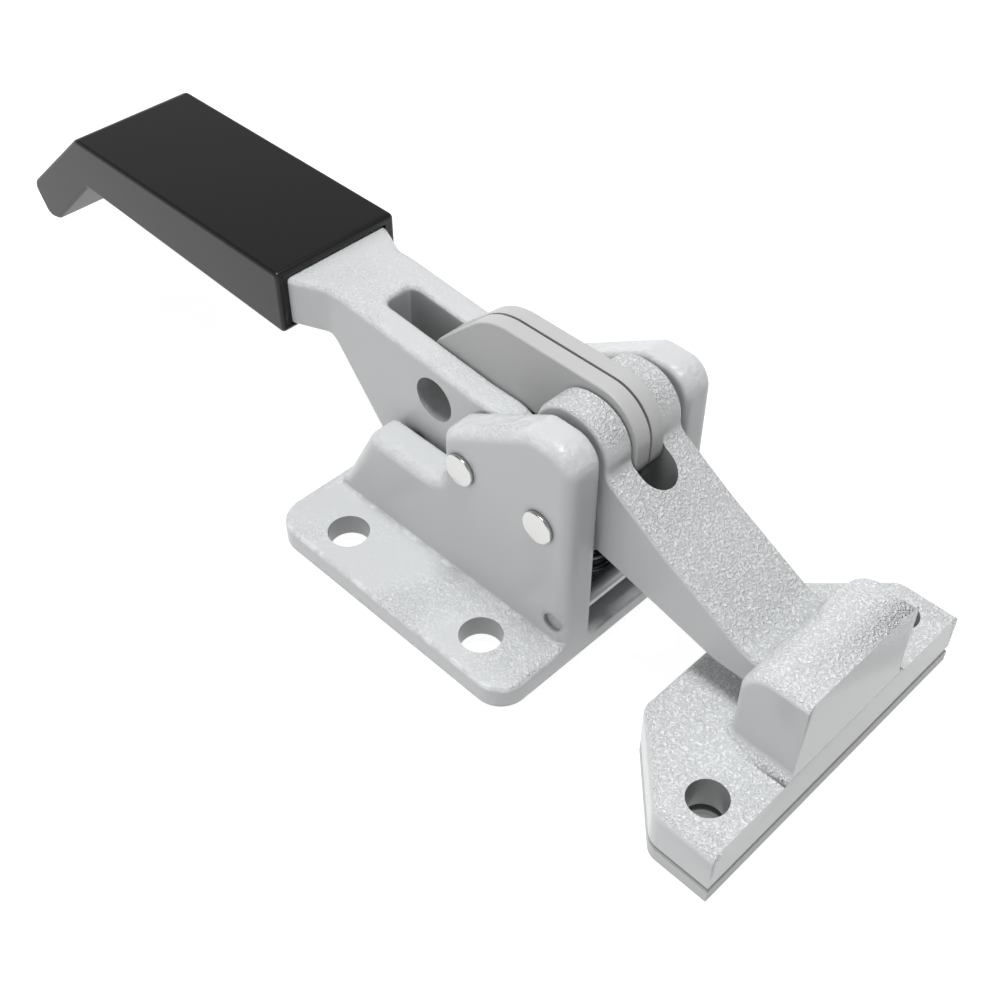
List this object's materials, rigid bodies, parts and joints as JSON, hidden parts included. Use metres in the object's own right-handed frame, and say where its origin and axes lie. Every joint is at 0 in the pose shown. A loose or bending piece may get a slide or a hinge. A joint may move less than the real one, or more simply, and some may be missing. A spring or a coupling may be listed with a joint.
{
  "type": "draw latch",
  "caption": "Over-centre draw latch: cast base with a hand lever, twin links and a hooked arm that reaches into a separate drilled strike.",
  "frame": {"origin": "centre of the base's four bolt holes, on its mounting face", "axes": "+X from the base towards the strike, +Y across the latch, +Z away from the mounting face"},
  "size_m": [0.2401, 0.0768, 0.061],
  "materials": {
    "cast_grey": "fine sand-cast texture, grey coat",
    "link_grey": "smooth grey coat",
    "plate_grey": "smooth grey coat",
    "bright_pin": "bright plated",
    "spring_wire": "drawn wire",
    "washer_steel": "plain",
    "black_grip": "soft black moulding"
  },
  "bodies": {
    "base": {"base_casting": "cast_grey", "lever_pivot_pin": "bright_pin", "guide_pin": "bright_pin", "stop_rod": "washer_steel", "coil_spring": "spring_wire", "lever_washer_near": "washer_steel", "lever_washer_far": "washer_steel", "arm_washer_near": "washer_steel", "arm_washer_far": "washer_steel", "lever_sleeve": "washer_steel", "arm_sleeve": "washer_steel", "strike_casting": "cast_grey", "strike_packing_plate": "plate_grey"},
    "lever": {"lever_casting": "cast_grey", "grip": "black_grip", "link_pin": "bright_pin"},
    "links": {"link_plate_near": "link_grey", "link_plate_far": "link_grey", "link_shim_rear": "washer_steel", "link_shim_front": "washer_steel"},
    "arm": {"draw_arm": "cast_grey", "knuckle_pin": "bright_pin"}
  },
  "joints": [
    {"name": "lever_pivot", "type": "hinge", "parent": "base", "child": "lever", "pos_m": [0.0062, 0, 0.0353], "axis": [0, 1, 0], "range_deg": [0, 50]},
    {"name": "link_pivot", "type": "hinge", "parent": "lever", "child": "links", "pos_m": [-0.0163, 0, 0.0208], "axis": [0, 1, 0], "range_deg": [-22.5, 0]},
    {"name": "knuckle_pivot", "type": "hinge", "parent": "links", "child": "arm", "pos_m": [0.0254, 0, 0.0469], "axis": [0, 1, 0], "range_deg": [-28.5, 0]}
  ],
  "couplings": [
    {"joint": "link_pivot", "follows": "lever_pivot", "ratio": -0.444},
    {"joint": "knuckle_pivot", "follows": "lever_pivot", "ratio": -0.556}
  ]
}
